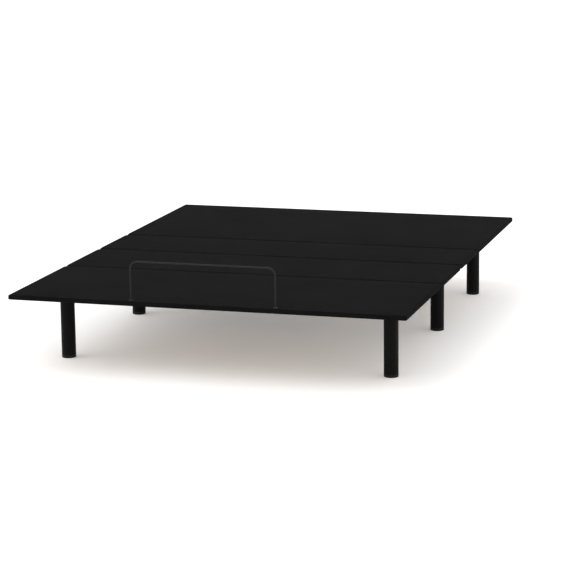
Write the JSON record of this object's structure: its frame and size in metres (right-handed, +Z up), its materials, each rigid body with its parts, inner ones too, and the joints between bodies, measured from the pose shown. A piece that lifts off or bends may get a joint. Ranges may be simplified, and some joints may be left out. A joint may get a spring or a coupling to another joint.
{
  "type": "adjustable bed base",
  "caption": "Queen-size adjustable bed base with padded hinged panels, round legs, electric lift actuators and a mattress retainer bar.",
  "frame": {"origin": "on the floor, under the middle of the deck", "axes": "+Z up, +Y towards the head end, +X to the right seen from the foot end"},
  "size_m": [1.524, 2.032, 0.446],
  "materials": {
    "upholstery": "black woven polyester over thin padding",
    "plywood": "sanded plywood",
    "black_steel": "satin black powder coat",
    "leg_black": "matte black powder coat",
    "retainer_grey": "dark grey powder coat",
    "zinc": "zinc plated",
    "bronze": "sintered bronze",
    "rod_steel": "hard chromed",
    "case_plastic": "fine moulded texture",
    "motor_black": "black enamel",
    "tube_grey": "grey anodised",
    "glide_plastic": "moulded black nylon",
    "rubber": "black rubber"
  },
  "bodies": {
    "base_frame": {"side_rail_left": "black_steel", "side_rail_right": "black_steel", "foot_cross_member": "black_steel", "mid_cross_member": "black_steel", "head_cross_member": "black_steel", "seat_cross_tubes": "black_steel", "hinge_forks": "black_steel", "rail_end_caps": "glide_plastic", "rest_pads": "rubber", "headboard_plates": "black_steel", "actuator_anchor": "black_steel", "pivot_pins": "zinc", "leg_foot_left": "leg_black", "leg_foot_right": "leg_black", "leg_mid_left": "leg_black", "leg_mid_right": "leg_black", "leg_head_left": "leg_black", "leg_head_right": "leg_black", "leg_glides": "glide_plastic", "leg_plates": "black_steel", "leg_studs": "zinc", "seat_board": "plywood", "seat_cover": "upholstery", "control_box": "case_plastic", "control_box_lid": "case_plastic", "power_supply": "case_plastic"},
    "head_section": {"head_board": "plywood", "head_cover": "upholstery", "head_frame": "black_steel", "head_lift_bracket": "black_steel", "head_lift_pin": "zinc", "head_hinge_bushes": "bronze"},
    "thigh_section": {"thigh_board": "plywood", "thigh_cover": "upholstery", "thigh_frame": "black_steel", "thigh_lift_bracket": "black_steel", "thigh_lift_pin": "zinc", "thigh_hinge_bushes": "bronze", "knee_pins": "zinc"},
    "calf_section": {"calf_board": "plywood", "calf_cover": "upholstery", "calf_frame": "black_steel", "calf_hinge_bushes": "bronze", "link_end_bolts": "zinc", "retainer_bar": "retainer_grey", "retainer_sockets": "glide_plastic"},
    "left_link": {"support_link_left": "black_steel"},
    "right_link": {"support_link_right": "black_steel"},
    "head_actuator": {"head_gear_case": "case_plastic", "head_motor": "motor_black", "head_outer_tube": "tube_grey"},
    "head_actuator_rod": {"head_push_rod": "rod_steel", "head_rod_eye": "case_plastic"},
    "head_screw": {"head_spindle": "zinc"},
    "foot_actuator": {"foot_gear_case": "case_plastic", "foot_motor": "motor_black", "foot_outer_tube": "tube_grey"},
    "foot_actuator_rod": {"foot_push_rod": "rod_steel", "foot_rod_eye": "case_plastic"},
    "foot_screw": {"foot_spindle": "zinc"}
  },
  "joints": [
    {"name": "head_lift", "type": "hinge", "parent": "base_frame", "child": "head_section", "pos_m": [0, 0.244, 0.279], "axis": [1, 0, 0], "range_deg": [0, 60]},
    {"name": "thigh_lift", "type": "hinge", "parent": "base_frame", "child": "thigh_section", "pos_m": [0, -0.08, 0.279], "axis": [-1, 0, 0], "range_deg": [0, 40]},
    {"name": "calf_fold", "type": "hinge", "parent": "thigh_section", "child": "calf_section", "pos_m": [0, -0.444, 0.279], "axis": [-1, 0, 0], "range_deg": [-40, 0]},
    {"name": "left_link_swing", "type": "hinge", "parent": "base_frame", "child": "left_link", "pos_m": [-0.609, -0.376, 0.2665], "axis": [-1, 0, 0], "range_deg": [0, 40]},
    {"name": "right_link_swing", "type": "hinge", "parent": "base_frame", "child": "right_link", "pos_m": [0.609, -0.376, 0.2665], "axis": [-1, 0, 0], "range_deg": [0, 40]},
    {"name": "head_actuator_swing", "type": "hinge", "parent": "base_frame", "child": "head_actuator", "pos_m": [0, 0.104, 0.154], "axis": [1, 0, 0], "range_deg": [0, 30]},
    {"name": "head_rod_stroke", "type": "slide", "parent": "head_actuator", "child": "head_actuator_rod", "axis": [0, 1, 0], "range_m": [0, 0.0875]},
    {"name": "head_screw_turn", "type": "hinge", "parent": "head_actuator", "child": "head_screw", "pos_m": [0, 0.104, 0.154], "axis": [0, 1, 0], "range_deg": [0, 2625]},
    {"name": "foot_actuator_swing", "type": "hinge", "parent": "base_frame", "child": "foot_actuator", "pos_m": [0, 0.06, 0.154], "axis": [-1, 0, 0], "range_deg": [0, 20]},
    {"name": "foot_rod_stroke", "type": "slide", "parent": "foot_actuator", "child": "foot_actuator_rod", "axis": [0, -1, 0], "range_m": [0, 0.0687]},
    {"name": "foot_screw_turn", "type": "hinge", "parent": "foot_actuator", "child": "foot_screw", "pos_m": [0, 0.06, 0.154], "axis": [0, -1, 0], "range_deg": [0, 2060]}
  ],
  "couplings": [
    {"joint": "calf_fold", "follows": "thigh_lift", "ratio": -1},
    {"joint": "left_link_swing", "follows": "thigh_lift", "ratio": 1},
    {"joint": "right_link_swing", "follows": "thigh_lift", "ratio": 1},
    {"joint": "head_actuator_swing", "follows": "head_lift", "ratio": 0.5},
    {"joint": "head_rod_stroke", "follows": "head_lift", "m_per_rad": 0.083544},
    {"joint": "head_screw_turn", "follows": "head_lift", "ratio": 43.744},
    {"joint": "foot_actuator_swing", "follows": "thigh_lift", "ratio": 0.5},
    {"joint": "foot_rod_stroke", "follows": "thigh_lift", "m_per_rad": 0.098289},
    {"joint": "foot_screw_turn", "follows": "thigh_lift", "ratio": 51.464}
  ]
}
